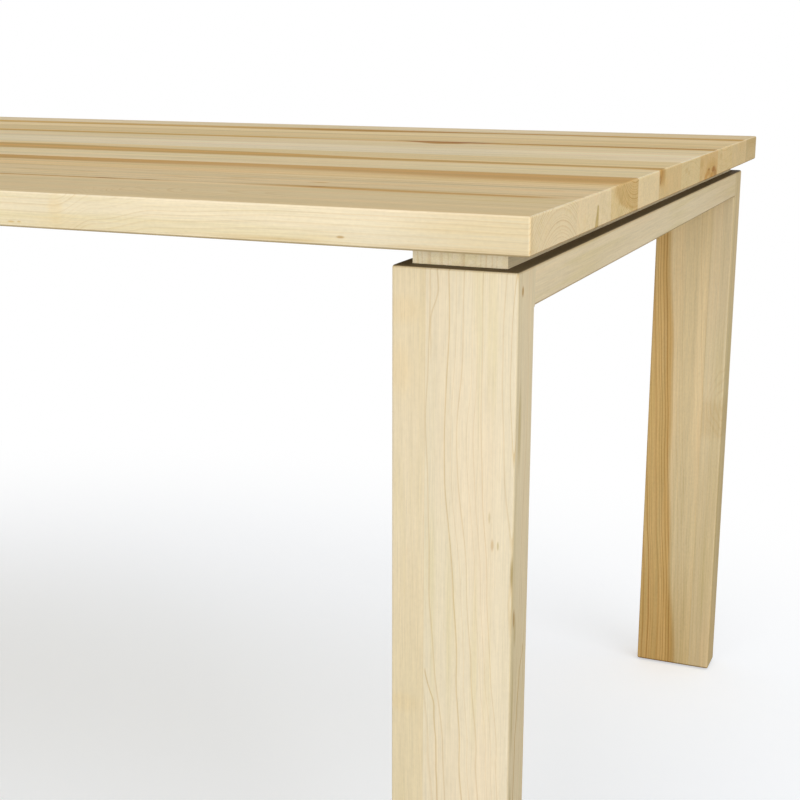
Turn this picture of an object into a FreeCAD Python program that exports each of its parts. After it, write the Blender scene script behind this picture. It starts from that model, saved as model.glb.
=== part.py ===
"""Dining table of pale solid hardwood on two end frames.

Ten staves glued edge to edge make the top. Each end frame is two plank legs joined by a flat rail, and a
narrower batten on it carries the top, so that the top seems to float on a shadow gap. The top is bolted to
the frames from below, with slots that let the wide panel swell and shrink.

Frame: origin on the floor at the middle of the footprint, +X along the table to its right end,
+Y to its rear long side, +Z up. Millimetres.
"""
import FreeCAD, Part
import math
import os
import Sketcher

Vector = FreeCAD.Vector

# Driving sizes
SIZES = {
    # the top
    "table_length": 2000,
    "table_width": 1000,
    "table_height": 750,
    "top_thickness": 30,
    "top_edge_radius": 2,
    # sawn widths of the staves, from the front long side to the rear one
    "stave_1_width": 123,
    "stave_2_width": 107,
    "stave_3_width": 99,
    "stave_4_width": 87,
    "stave_5_width": 104,
    "stave_6_width": 99,
    "stave_7_width": 105,
    "stave_8_width": 96,
    "stave_9_width": 100,
    "stave_10_width": 80,
    # the end frames
    "end_overhang": 14,
    "side_overhang": 19,
    "leg_width": 102,
    "leg_thickness": 42,
    "leg_narrow_board": 28,
    "leg_edge_radius": 2.5,
    "rail_height": 32,
    "batten_height": 14,
    "batten_inset": 12.5,
    # loose tenons between the rail and the legs
    "tenon_thickness": 10,
    "tenon_width": 30,
    "tenon_depth": 25,
    "tenon_parting": 14,
    "mortise_spare": 0.5,
    "glue_gap": 0.1,
    # dowels and screws between the batten and the frame below it
    "dowel_diameter": 8,
    "dowel_depth_in_leg": 30,
    "dowel_depth_in_batten": 10,
    "dowel_chamfer": 1,
    "screw_diameter": 5,
    "screw_head_diameter": 10,
    "screw_depth_in_rail": 24,
    "screw_point": 5,
    "screw_end_distance": 80,
    # bolts, washers and threaded inserts that hold the top
    "bolt_diameter": 8,
    "bolt_clearance": 1,
    "bolt_travel": 7,
    "bolt_engagement": 15,
    "bolt_head_diameter": 13,
    "bolt_head_height": 8,
    "bolt_key_size": 6,
    "bolt_key_depth": 4,
    "bolt_pair_spacing": 40,
    "bolt_end_distance": 140,
    "washer_diameter": 20,
    "washer_thickness": 2,
    "counterbore_diameter": 28,
    "counterbore_depth": 12,
    "insert_diameter": 12,
    "insert_spare": 3,
    # push-in glides under the legs
    "glide_diameter": 24,
    "glide_height": 2,
    "glide_edge_radius": 0.8,
    "glide_stem_diameter": 8,
    "glide_stem_length": 20,
    "glide_spacing": 60,
}

STAVES = 10
BATTEN_SCREWS = 4
BOLT_ROWS = 3

# Sizes that follow from the driving ones, as expressions over the sheet
SAWN_WIDTHS = [f"sizes.stave_{stave}_width" for stave in range(1, STAVES + 1)]
# what the table's width leaves over is shared evenly among the staves
STAVE_TRIM = f"(sizes.table_width - {' - '.join(SAWN_WIDTHS)}) / {STAVES}"
STAVE_WIDTHS = [f"({sawn} + {STAVE_TRIM})" for sawn in SAWN_WIDTHS]
TOP_BOTTOM = "(sizes.table_height - sizes.top_thickness)"
FRAME_TOP = f"({TOP_BOTTOM} - sizes.batten_height)"
LEG_HEIGHT = f"({FRAME_TOP} - sizes.glide_height)"
RAIL_BOTTOM = f"({FRAME_TOP} - sizes.rail_height)"
FRAME_X = "(sizes.table_length / 2 - sizes.end_overhang - sizes.leg_width / 2)"
LEG_Y = "(sizes.table_width / 2 - sizes.side_overhang - sizes.leg_thickness / 2)"
RAIL_LENGTH = f"(2 * {LEG_Y} - sizes.leg_thickness)"
BATTEN_WIDTH = "(sizes.leg_width - 2 * sizes.batten_inset)"
BATTEN_LENGTH = f"({RAIL_LENGTH} + 2 * sizes.leg_thickness - 2 * sizes.batten_inset)"
GLUE_LINE_X = "(sizes.leg_narrow_board - sizes.leg_width / 2)"
TENON_X = "((sizes.tenon_parting + sizes.tenon_width) / 2)"
TENON_FLAT = "((sizes.tenon_width - sizes.tenon_thickness) / 2)"
MORTISE_RADIUS = "(sizes.tenon_thickness / 2 + sizes.glue_gap)"
MORTISE_DEPTH = "(sizes.tenon_depth + sizes.mortise_spare)"
TENON_Z_IN_LEG = f"({LEG_HEIGHT} - sizes.rail_height / 2)"
SCREW_SPACING = f"(({RAIL_LENGTH} - 2 * sizes.screw_end_distance) / {BATTEN_SCREWS - 1})"
SCREW_LENGTH = "(sizes.batten_height + sizes.screw_depth_in_rail)"
SCREW_CONE = "((sizes.screw_head_diameter - sizes.screw_diameter) / 2)"
BOLT_ROW_SPACING = f"({RAIL_LENGTH} / 2 - sizes.bolt_end_distance)"
BOLT_PAIR_X = "(sizes.bolt_pair_spacing / 2)"
BOLT_HOLE_RADIUS = "((sizes.bolt_diameter + sizes.bolt_clearance) / 2)"
BOLT_SEAT = "(sizes.counterbore_depth - sizes.washer_thickness)"
BOLT_LENGTH = f"(sizes.rail_height - {BOLT_SEAT} + sizes.batten_height + sizes.bolt_engagement)"
INSERT_LENGTH = "(sizes.bolt_engagement + sizes.insert_spare)"

doc = FreeCAD.newDocument("dining_table")
sheet = doc.addObject("Spreadsheet::Sheet", "sizes")
for row, (alias, value) in enumerate(SIZES.items(), start=1):
    sheet.set(f"A{row}", str(value))
    sheet.setAlias(f"A{row}", alias)
doc.recompute()

nodes = []


def number(expression):
    """The present value of an expression over the sheet."""
    return float(sheet.evalExpression(expression))


def new_body(label, x="0", y="0", z="0", half_turn=False):
    """A sub-part of its own, turned half round the vertical or not, with its place tied to the sheet."""
    body = doc.addObject("PartDesign::Body", label)
    body.Label = label
    body.Placement.Rotation = FreeCAD.Rotation(Vector(0, 0, 1), 180 if half_turn else 0)
    for axis, expression in zip("xyz", (x, y, z)):
        body.setExpression(f"Placement.Base.{axis}", expression)
    nodes.append(body)
    return body


def origin_feature(body, role):
    return next(feature for feature in body.Origin.OriginFeatures if feature.Role == role)


def new_sketch(body, name, plane="XY_Plane", offset="0"):
    """A sketch on one of the body's own planes, shifted along that plane's normal."""
    sketch = body.newObject("Sketcher::SketchObject", name)
    sketch.AttachmentSupport = [(origin_feature(body, plane), "")]
    sketch.MapMode = "FlatFace"
    sketch.setExpression("AttachmentOffset.Base.z", offset)
    return sketch


def bind(sketch, constraint, expression):
    """Add a dimension to a sketch and tie it to the sheet."""
    index = sketch.addConstraint(constraint)
    sketch.setExpression(f"Constraints[{index}]", expression)


def fix_point(sketch, geometry, point, x, y):
    """Hold one point of a sketch at a place measured from the sketch's origin."""
    bind(sketch, Sketcher.Constraint("DistanceX", -1, 1, geometry, point, number(x)), x)
    bind(sketch, Sketcher.Constraint("DistanceY", -1, 1, geometry, point, number(y)), y)


def draw_outline(sketch, corners):
    """A closed outline of straight sides through the given corners."""
    points = [Vector(number(x), number(y), 0) for x, y in corners]
    sides = []
    for start, end in zip(points, points[1:] + points[:1]):
        sides.append(sketch.addGeometry(Part.LineSegment(start, end), False))
    for side, following in zip(sides, sides[1:] + sides[:1]):
        sketch.addConstraint(Sketcher.Constraint("Coincident", side, 2, following, 1))
    for side, (x, y) in zip(sides, corners):
        fix_point(sketch, side, 1, x, y)


def draw_rectangle(sketch, x_low, x_high, y_low, y_high):
    draw_outline(sketch, [(x_low, y_low), (x_high, y_low), (x_high, y_high), (x_low, y_high)])


def draw_circles(sketch, radius, centres):
    for x, y in centres:
        circle = Part.Circle(Vector(number(x), number(y), 0), Vector(0, 0, 1), number(radius))
        index = sketch.addGeometry(circle, False)
        fix_point(sketch, index, 3, x, y)
        bind(sketch, Sketcher.Constraint("Radius", index, number(radius)), radius)


def draw_slots(sketch, radius, half_flat, centres, along):
    """Slots with round ends, each running along X or Y of the sketch."""
    up = Vector(0, 0, 1)
    run = Vector(1, 0, 0) if along == "X" else Vector(0, 1, 0)
    first_angle = -math.pi / 2 if along == "X" else 0
    for x, y in centres:
        middle = Vector(number(x), number(y), 0)
        reach = run * number(half_flat)
        aside = up.cross(run) * number(radius)
        far_circle = Part.Circle(middle + reach, up, number(radius))
        near_circle = Part.Circle(middle - reach, up, number(radius))
        far_end = Part.ArcOfCircle(far_circle, first_angle, first_angle + math.pi)
        near_end = Part.ArcOfCircle(near_circle, first_angle + math.pi, first_angle + 2 * math.pi)
        left_side = Part.LineSegment(middle + reach + aside, middle - reach + aside)
        right_side = Part.LineSegment(middle - reach - aside, middle + reach - aside)
        loop = [sketch.addGeometry(piece, False) for piece in (far_end, left_side, near_end, right_side)]
        for piece, following in zip(loop, loop[1:] + loop[:1]):
            sketch.addConstraint(Sketcher.Constraint("Tangent", piece, 2, following, 1))
        for end, sign in ((loop[0], "+"), (loop[2], "-")):
            shifted_x = f"{x} {sign} {half_flat}" if along == "X" else x
            shifted_y = f"{y} {sign} {half_flat}" if along == "Y" else y
            fix_point(sketch, end, 3, shifted_x, shifted_y)
        bind(sketch, Sketcher.Constraint("Radius", loop[0], number(radius)), radius)


def pad(body, sketch, length, centred=False):
    feature = body.newObject("PartDesign::Pad", f"{sketch.Name}_pad")
    feature.Profile = sketch
    feature.setExpression("Length", length)
    if centred:
        feature.SideType = "Symmetric"
    doc.recompute()
    return feature


def pocket(body, sketch, depth=None, reverse=False):
    """Cut a sketch into the body, to a depth or right through, and make sure that it removed wood."""
    before = body.Shape.Volume
    feature = body.newObject("PartDesign::Pocket", f"{sketch.Name}_cut")
    feature.Profile = sketch
    feature.Reversed = reverse
    if depth is None:
        feature.Type = "ThroughAll"
    else:
        feature.setExpression("Length", depth)
    doc.recompute()
    if body.Shape.Volume >= before:
        raise RuntimeError(f"{body.Label}: {feature.Name} cuts nothing")
    return feature


def turn(body, sketch):
    """Turn a half profile, drawn in the XZ plane, round the Z axis."""
    feature = body.newObject("PartDesign::Revolution", f"{sketch.Name}_turned")
    feature.Profile = sketch
    feature.ReferenceAxis = (sketch, ["V_Axis"])
    feature.Angle = 360
    doc.recompute()
    return feature


def repeat(body, rows=1, row_spacing="0", pairs=1, pair_spacing="0"):
    """Repeat the whole piece in rows along Y and in pairs along X, as separate solids."""
    feature = body.newObject("PartDesign::LinearPattern", f"{body.Name}_repeated")
    feature.TransformMode = "Whole shape"
    feature.Direction = (origin_feature(body, "Y_Axis"), [""])
    feature.Occurrences = rows
    feature.setExpression("Length", f"{max(rows - 1, 1)} * {row_spacing}")
    feature.Direction2 = (origin_feature(body, "X_Axis"), [""])
    feature.Occurrences2 = pairs
    feature.setExpression("Length2", f"{max(pairs - 1, 1)} * {pair_spacing}")
    body.Tip = feature
    doc.recompute()


def round_edges(body, radius, *chosen):
    """Round every edge whose middle satisfies one of the given conditions."""
    base = body.Tip
    names = []
    for index, edge in enumerate(base.Shape.Edges, start=1):
        middle = edge.valueAt((edge.FirstParameter + edge.LastParameter) / 2)
        if any(condition(middle) for condition in chosen):
            names.append(f"Edge{index}")
    feature = body.newObject("PartDesign::Fillet", f"{body.Name}_rounding")
    feature.Base = (base, names)
    feature.setExpression("Radius", radius)
    doc.recompute()


def near(value, target):
    return abs(value - target) < 1e-6


def spans_meet(low, high, centre, half_width):
    """Whether a hole about a centre reaches into a span of wood."""
    return centre + half_width > low and centre - half_width < high


# The top: staves from the front long side to the rear one
def make_stave(index):
    width = STAVE_WIDTHS[index]
    front_edge = " + ".join(["-sizes.table_width / 2"] + STAVE_WIDTHS[:index])
    body = new_body(f"top_stave_{index + 1:02d}", y=front_edge, z=TOP_BOTTOM)
    plan = new_sketch(body, f"stave_{index + 1}_plan")
    draw_rectangle(plan, "-sizes.table_length / 2", "sizes.table_length / 2", "0", width)
    pad(body, plan, "sizes.top_thickness")

    end = number("sizes.table_length / 2")
    thickness = number("sizes.top_thickness")

    def on_long_face(point):
        return near(point.z, 0) or near(point.z, thickness)

    def at_end(point):
        return near(abs(point.x), end)

    def outer_side(point):
        front = index == 0 and near(point.y, 0)
        rear = index == STAVES - 1 and near(point.y, number(width))
        return front or rear

    round_edges(
        body,
        "sizes.top_edge_radius",
        lambda point: at_end(point) and on_long_face(point),
        lambda point: outer_side(point) and (on_long_face(point) or at_end(point)),
    )

    low_y = number(front_edge)
    high_y = low_y + number(width)
    insert_hole = "sizes.insert_diameter / 2 + sizes.glue_gap"
    centres = []
    for row_place in bolt_rows():
        if spans_meet(low_y, high_y, number(row_place), number(insert_hole)):
            for frame_side in (1, -1):
                for pair_side in (1, -1):
                    x = f"{frame_side} * {FRAME_X} + {pair_side} * {BOLT_PAIR_X}"
                    centres.append((x, f"{row_place} - ({front_edge})"))
    if centres:
        holes = new_sketch(body, f"stave_{index + 1}_insert_holes")
        draw_circles(holes, insert_hole, centres)
        pocket(body, holes, INSERT_LENGTH, reverse=True)


def bolt_rows():
    """Places along Y of the bolt rows, the middle one first."""
    return ["0", f"-{BOLT_ROW_SPACING}", f"{BOLT_ROW_SPACING}"]


# The legs: a narrow and a wide board glued side by side, alike at all four corners
def make_leg_board(leg, board, x, y, half_turn):
    body = new_body(f"{leg}_leg_{board}_board", x=x, y=y, z="sizes.glide_height", half_turn=half_turn)
    outer_x = "-sizes.leg_width / 2" if board == "narrow" else "sizes.leg_width / 2"
    low_x, high_x = (outer_x, GLUE_LINE_X) if board == "narrow" else (GLUE_LINE_X, outer_x)
    inward = "+" if board == "narrow" else "-"
    outer_y = "-sizes.leg_thickness / 2"
    inner_y = "sizes.leg_thickness / 2"

    plan = new_sketch(body, f"{body.Name}_plan")
    draw_rectangle(plan, low_x, high_x, outer_y, inner_y)
    pad(body, plan, LEG_HEIGHT)

    def upright_outer(point):
        return near(point.x, number(outer_x)) and near(point.y, number(outer_y))

    def rim(point):
        at_top = near(point.z, number(LEG_HEIGHT))
        at_foot = near(point.z, 0)
        on_side = near(point.x, number(outer_x))
        on_face = near(point.y, number(outer_y))
        on_inner_face = near(point.y, number(inner_y))
        return (at_top or at_foot) and (on_side or on_face) or at_foot and on_inner_face

    round_edges(body, "sizes.leg_edge_radius", upright_outer, rim)

    # the inner upright edge is rounded only up to the rail, which sits flush with the leg above that
    corner = new_sketch(body, f"{body.Name}_inner_edge")
    draw_corner_waste(corner, outer_x, inner_y, inward)
    pocket(body, corner, f"{LEG_HEIGHT} - sizes.rail_height", reverse=True)

    wood = (number(low_x), number(high_x))
    tenon_reach = number(TENON_FLAT) + number(MORTISE_RADIUS)
    mortise_places = []
    for place in (f"-{TENON_X}", TENON_X):
        if spans_meet(*wood, number(place), tenon_reach):
            mortise_places.append((place, TENON_Z_IN_LEG))
    if mortise_places:
        mortises = new_sketch(body, f"{body.Name}_mortises", "XZ_Plane", outer_y)
        draw_slots(mortises, MORTISE_RADIUS, TENON_FLAT, mortise_places, "X")
        pocket(body, mortises, MORTISE_DEPTH, reverse=True)

    dowel_hole = "sizes.dowel_diameter / 2 + sizes.glue_gap"
    if spans_meet(*wood, 0, number(dowel_hole)):
        dowel = new_sketch(body, f"{body.Name}_dowel_hole", offset=LEG_HEIGHT)
        draw_circles(dowel, dowel_hole, [("0", "0")])
        pocket(body, dowel, "sizes.dowel_depth_in_leg + sizes.mortise_spare")

    stem_hole = "sizes.glide_stem_diameter / 2 + sizes.glue_gap"
    stems = []
    for place in ("-sizes.glide_spacing / 2", "sizes.glide_spacing / 2"):
        if spans_meet(*wood, number(place), number(stem_hole)):
            stems.append((place, "0"))
    if stems:
        stem_holes = new_sketch(body, f"{body.Name}_stem_holes")
        draw_circles(stem_holes, stem_hole, stems)
        pocket(body, stem_holes, "sizes.glide_stem_length + sizes.mortise_spare", reverse=True)


def draw_corner_waste(sketch, x, y, inward):
    """What a rounding takes off a square corner: two straight sides and a hollow arc."""
    radius = "sizes.leg_edge_radius"
    side_x = f"{x} {inward} {radius}"
    side_y = f"{y} - {radius}"
    corner = Vector(number(x), number(y), 0)
    on_face = Vector(number(side_x), number(y), 0)
    on_side = Vector(number(x), number(side_y), 0)
    centre = Vector(number(side_x), number(side_y), 0)
    bulge = centre + (corner - centre).normalize() * number(radius)
    along_face = sketch.addGeometry(Part.LineSegment(corner, on_face), False)
    along_side = sketch.addGeometry(Part.LineSegment(on_side, corner), False)
    hollow = sketch.addGeometry(Part.Arc(on_face, bulge, on_side), False)
    fix_point(sketch, along_face, 1, x, y)
    fix_point(sketch, along_face, 2, side_x, y)
    fix_point(sketch, along_side, 1, x, side_y)
    sketch.addConstraint(Sketcher.Constraint("Coincident", along_side, 2, along_face, 1))
    bind(sketch, Sketcher.Constraint("Radius", hollow, number(radius)), radius)
    arc_start = sketch.getPoint(hollow, 1)
    starts_on_face = arc_start.distanceToPoint(on_face) < arc_start.distanceToPoint(on_side)
    face_end, side_end = (1, 2) if starts_on_face else (2, 1)
    sketch.addConstraint(Sketcher.Constraint("Coincident", hollow, face_end, along_face, 2))
    sketch.addConstraint(Sketcher.Constraint("Coincident", hollow, side_end, along_side, 1))


def make_tenons(leg, x, y):
    """The pair of loose tenons across the joint between a leg and the rail."""
    body = new_body(f"{leg}_rail_tenons", x=x, y=y, z=f"{FRAME_TOP} - sizes.rail_height / 2")
    section = new_sketch(body, f"{body.Name}_section", "XZ_Plane")
    draw_slots(section, "sizes.tenon_thickness / 2", TENON_FLAT, [(f"-{TENON_X}", "0"), (TENON_X, "0")], "X")
    pad(body, section, "2 * sizes.tenon_depth", centred=True)


def make_glides(leg, x, y):
    """The two push-in glides that one leg stands on."""
    body = new_body(f"{leg}_foot_glides", x=f"{x} - sizes.glide_spacing / 2", y=y)
    profile = new_sketch(body, f"{body.Name}_profile", "XZ_Plane")
    rim = "sizes.glide_diameter / 2"
    stem = "sizes.glide_stem_diameter / 2"
    stem_top = "sizes.glide_height + sizes.glide_stem_length"
    corners = [("0", "0"), (rim, "0"), (rim, "sizes.glide_height"), (stem, "sizes.glide_height")]
    draw_outline(profile, corners + [(stem, stem_top), ("0", stem_top)])
    turn(body, profile)
    foot_radius = number(rim)
    round_edges(
        body,
        "sizes.glide_edge_radius",
        lambda point: near(point.z, 0) and near((point.x**2 + point.y**2) ** 0.5, foot_radius),
    )
    repeat(body, pairs=2, pair_spacing="sizes.glide_spacing")


# The rail: a flat plank between the legs
def make_rail(side, x):
    body = new_body(f"{side}_rail", x=x, z=RAIL_BOTTOM)
    half_width = "sizes.leg_width / 2"
    half_length = f"{RAIL_LENGTH} / 2"
    plan = new_sketch(body, f"{side}_rail_plan")
    draw_rectangle(plan, f"-{half_width}", half_width, f"-{half_length}", half_length)
    pad(body, plan, "sizes.rail_height")

    def long_edge(point):
        on_face = near(point.z, 0) or near(point.z, number("sizes.rail_height"))
        return on_face and near(abs(point.x), number(half_width))

    round_edges(body, "sizes.leg_edge_radius", long_edge)

    mortises = new_sketch(body, f"{side}_rail_mortises", "XZ_Plane", half_length)
    places = [(f"-{TENON_X}", "sizes.rail_height / 2"), (TENON_X, "sizes.rail_height / 2")]
    draw_slots(mortises, MORTISE_RADIUS, TENON_FLAT, places, "X")
    front_mortises = pocket(body, mortises, MORTISE_DEPTH)
    other_end = body.newObject("PartDesign::Mirrored", f"{side}_rail_other_end")
    other_end.Originals = [front_mortises]
    other_end.MirrorPlane = (origin_feature(body, "XZ_Plane"), [""])
    body.Tip = other_end
    doc.recompute()

    cut_bolt_holes(body, f"{side}_rail")
    seats = new_sketch(body, f"{side}_rail_counterbores")
    draw_circles(seats, "sizes.counterbore_diameter / 2", bolt_places(bolt_rows()))
    pocket(body, seats, "sizes.counterbore_depth", reverse=True)

    pilots = new_sketch(body, f"{side}_rail_pilot_holes", offset="sizes.rail_height")
    draw_circles(pilots, "sizes.screw_diameter / 2 + sizes.glue_gap", screw_places())
    pocket(body, pilots, "sizes.screw_depth_in_rail + sizes.mortise_spare")


def bolt_places(rows):
    places = []
    for y in rows:
        places.append((f"-{BOLT_PAIR_X}", y))
        places.append((BOLT_PAIR_X, y))
    return places


def screw_places():
    first = f"-{SCREW_SPACING} * {BATTEN_SCREWS - 1} / 2"
    return [("0", f"{first} + {index} * {SCREW_SPACING}") for index in range(BATTEN_SCREWS)]


def cut_bolt_holes(body, name):
    """Round holes for the middle bolts, and slots along the rail for the outer ones."""
    middle, *outer = bolt_rows()
    holes = new_sketch(body, f"{name}_bolt_holes")
    draw_circles(holes, BOLT_HOLE_RADIUS, bolt_places([middle]))
    pocket(body, holes, reverse=True)
    slots = new_sketch(body, f"{name}_bolt_slots")
    draw_slots(slots, BOLT_HOLE_RADIUS, "sizes.bolt_travel / 2", bolt_places(outer), "Y")
    pocket(body, slots, reverse=True)


# The batten: the strip that holds the top off the frame
def make_batten(side, x):
    body = new_body(f"{side}_batten", x=x, z=FRAME_TOP)
    half_width = f"{BATTEN_WIDTH} / 2"
    half_length = f"{BATTEN_LENGTH} / 2"
    plan = new_sketch(body, f"{side}_batten_plan")
    draw_rectangle(plan, f"-{half_width}", half_width, f"-{half_length}", half_length)
    pad(body, plan, "sizes.batten_height")
    cut_bolt_holes(body, f"{side}_batten")

    dowels = new_sketch(body, f"{side}_batten_dowel_holes")
    draw_circles(dowels, "sizes.dowel_diameter / 2 + sizes.glue_gap", [("0", f"-{LEG_Y}"), ("0", LEG_Y)])
    pocket(body, dowels, "sizes.dowel_depth_in_batten + sizes.mortise_spare", reverse=True)

    places = new_sketch(body, f"{side}_batten_screw_holes", offset="sizes.batten_height")
    draw_circles(places, "sizes.screw_diameter / 2", screw_places())
    doc.recompute()
    sunk = body.newObject("PartDesign::Hole", f"{side}_batten_countersinks")
    sunk.Profile = places
    sunk.DepthType = "ThroughAll"
    sunk.HoleCutType = "Countersink"
    sunk.HoleCutCountersinkAngle = 90
    sunk.setExpression("Diameter", "sizes.screw_diameter + 2 * sizes.glue_gap")
    sunk.setExpression("HoleCutDiameter", "sizes.screw_head_diameter + 2 * sizes.glue_gap")
    doc.recompute()


def make_batten_dowels(side, x):
    body = new_body(f"{side}_batten_dowels", x=x, y=f"-{LEG_Y}", z=f"{FRAME_TOP} - sizes.dowel_depth_in_leg")
    section = new_sketch(body, f"{body.Name}_section")
    draw_circles(section, "sizes.dowel_diameter / 2", [("0", "0")])
    pad(body, section, "sizes.dowel_depth_in_leg + sizes.dowel_depth_in_batten")
    rod = body.Tip
    ends = [f"Edge{n}" for n, edge in enumerate(rod.Shape.Edges, start=1) if edge.isClosed()]
    chamfer = body.newObject("PartDesign::Chamfer", f"{body.Name}_chamfer")
    chamfer.Base = (rod, ends)
    chamfer.setExpression("Size", "sizes.dowel_chamfer")
    doc.recompute()
    repeat(body, 2, f"2 * {LEG_Y}")


def make_batten_screws(side, x):
    """Countersunk screws from the batten down into the rail."""
    first = f"-{SCREW_SPACING} * {BATTEN_SCREWS - 1} / 2"
    body = new_body(f"{side}_batten_screws", x=x, y=first, z=TOP_BOTTOM)
    profile = new_sketch(body, f"{body.Name}_profile", "XZ_Plane")
    head = "sizes.screw_head_diameter / 2"
    shank = "sizes.screw_diameter / 2"
    draw_outline(
        profile,
        [
            ("0", "0"),
            ("0", f"-{SCREW_LENGTH}"),
            (shank, f"-{SCREW_LENGTH} + sizes.screw_point"),
            (shank, f"-{SCREW_CONE}"),
            (head, "0"),
        ],
    )
    turn(body, profile)
    repeat(body, BATTEN_SCREWS, SCREW_SPACING)


# Bolts, washers and inserts that hold the top
def make_top_bolts(side, x):
    """Socket-head bolts, standing head down in the rail's counterbores."""
    seat = f"{RAIL_BOTTOM} + {BOLT_SEAT}"
    body = new_body(f"{side}_top_bolts", x=f"{x} - {BOLT_PAIR_X}", y=f"-{BOLT_ROW_SPACING}", z=seat)
    profile = new_sketch(body, f"{body.Name}_profile", "XZ_Plane")
    head = "sizes.bolt_head_diameter / 2"
    shank = "sizes.bolt_diameter / 2"
    foot = "-sizes.bolt_head_height"
    head_corners = [("0", foot), (head, foot), (head, "0")]
    draw_outline(profile, head_corners + [(shank, "0"), (shank, BOLT_LENGTH), ("0", BOLT_LENGTH)])
    turn(body, profile)
    key = new_sketch(body, f"{body.Name}_key", offset=foot)
    across = "sizes.bolt_key_size / 2"
    corner = f"{across} / cos(30 deg)"
    side_half = f"{across} * tan(30 deg)"
    draw_outline(
        key,
        [
            (corner, "0"),
            (side_half, across),
            (f"-{side_half}", across),
            (f"-{corner}", "0"),
            (f"-{side_half}", f"-{across}"),
            (side_half, f"-{across}"),
        ],
    )
    pocket(body, key, "sizes.bolt_key_depth", reverse=True)
    repeat(body, BOLT_ROWS, BOLT_ROW_SPACING, 2, "sizes.bolt_pair_spacing")


def make_rings(label, x, z, outer, inner, height):
    """A washer or an insert at each bolt: a plain ring with the bolt through it."""
    body = new_body(label, x=f"{x} - {BOLT_PAIR_X}", y=f"-{BOLT_ROW_SPACING}", z=z)
    section = new_sketch(body, f"{label}_section")
    draw_circles(section, outer, [("0", "0")])
    draw_circles(section, inner, [("0", "0")])
    pad(body, section, height)
    repeat(body, BOLT_ROWS, BOLT_ROW_SPACING, 2, "sizes.bolt_pair_spacing")


for stave_index in range(STAVES):
    make_stave(stave_index)

for frame_name, frame_x in (("right", FRAME_X), ("left", f"-{FRAME_X}")):
    for leg_place, y_sign, turned in (("front", "-", False), ("rear", "", True)):
        leg_name = f"{leg_place}_{frame_name}"
        leg_middle = f"{y_sign}{LEG_Y}"
        for board_name in ("narrow", "wide"):
            make_leg_board(leg_name, board_name, frame_x, leg_middle, turned)
        make_tenons(leg_name, frame_x, f"{y_sign}{RAIL_LENGTH} / 2")
        make_glides(leg_name, frame_x, leg_middle)
    make_rail(frame_name, frame_x)
    make_batten(frame_name, frame_x)
    make_batten_dowels(frame_name, frame_x)
    make_batten_screws(frame_name, frame_x)
    make_top_bolts(frame_name, frame_x)
    washer_seat = f"{RAIL_BOTTOM} + {BOLT_SEAT}"
    bolt_bore = "sizes.bolt_diameter / 2 + sizes.glue_gap"
    make_rings(
        f"{frame_name}_bolt_washers",
        frame_x,
        washer_seat,
        "sizes.washer_diameter / 2",
        bolt_bore,
        "sizes.washer_thickness",
    )
    make_rings(
        f"{frame_name}_threaded_inserts",
        frame_x,
        TOP_BOTTOM,
        "sizes.insert_diameter / 2",
        bolt_bore,
        INSERT_LENGTH,
    )

# Nothing is written unless every object is sound
doc.recompute()
for item in doc.Objects:
    if "Invalid" in item.State or "Error" in item.State:
        raise RuntimeError(f"{item.Label} failed: {item.State}")
for node in nodes:
    if node.Shape.isNull() or not node.Shape.isValid():
        raise RuntimeError(f"{node.Label} has no sound shape")

os.makedirs("parts", exist_ok=True)
for node in nodes:
    node.Shape.exportStep(os.path.join("parts", f"{node.Label}.step"))
    print(f"{node.Label}: {len(node.Shape.Solids)} solids, {node.Shape.Volume / 1000:.1f} cm3")
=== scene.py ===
# %% [markdown]
# # A dining table in pale solid wood
# The table was built first as solids in a CAD program: ten staves glued into a top, two boards in each
# leg, a rail and a batten at each end, and the bolts, tenons and glides that hold and carry them. Those
# solids are the fixed frame of this lesson. Here the table gets its looks: boards with smoothly rounded
# edges, wood that shows how it grew, plain studio light, and a camera where the photographer stood.

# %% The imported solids
import math
from dataclasses import dataclass

import bmesh
import bpy
from mathutils import Matrix, Vector


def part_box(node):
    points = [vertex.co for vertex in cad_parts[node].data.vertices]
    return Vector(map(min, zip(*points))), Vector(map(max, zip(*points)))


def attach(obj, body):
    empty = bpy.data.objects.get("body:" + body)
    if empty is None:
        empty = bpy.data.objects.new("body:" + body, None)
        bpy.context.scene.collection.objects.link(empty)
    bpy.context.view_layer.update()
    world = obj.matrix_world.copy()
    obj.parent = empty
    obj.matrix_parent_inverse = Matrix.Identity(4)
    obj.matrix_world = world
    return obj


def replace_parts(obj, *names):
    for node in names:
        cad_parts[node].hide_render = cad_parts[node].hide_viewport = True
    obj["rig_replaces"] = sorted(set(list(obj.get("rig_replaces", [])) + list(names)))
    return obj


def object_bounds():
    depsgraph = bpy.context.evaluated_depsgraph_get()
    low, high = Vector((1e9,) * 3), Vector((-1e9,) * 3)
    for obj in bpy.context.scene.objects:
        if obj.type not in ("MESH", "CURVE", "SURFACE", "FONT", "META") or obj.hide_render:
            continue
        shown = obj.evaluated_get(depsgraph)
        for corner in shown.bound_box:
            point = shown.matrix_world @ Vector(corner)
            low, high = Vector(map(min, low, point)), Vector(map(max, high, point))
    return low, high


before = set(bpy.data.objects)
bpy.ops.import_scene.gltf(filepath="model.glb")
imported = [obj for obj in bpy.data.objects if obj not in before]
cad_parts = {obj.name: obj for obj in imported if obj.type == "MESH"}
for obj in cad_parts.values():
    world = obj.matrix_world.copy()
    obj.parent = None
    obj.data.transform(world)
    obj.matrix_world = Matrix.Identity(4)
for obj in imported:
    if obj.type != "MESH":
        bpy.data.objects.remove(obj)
CAD_LOW, CAD_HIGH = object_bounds()
print("packed solids:", len(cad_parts), "nodes")
print("their box:", [round(side, 3) for side in CAD_HIGH - CAD_LOW], "m")

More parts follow.
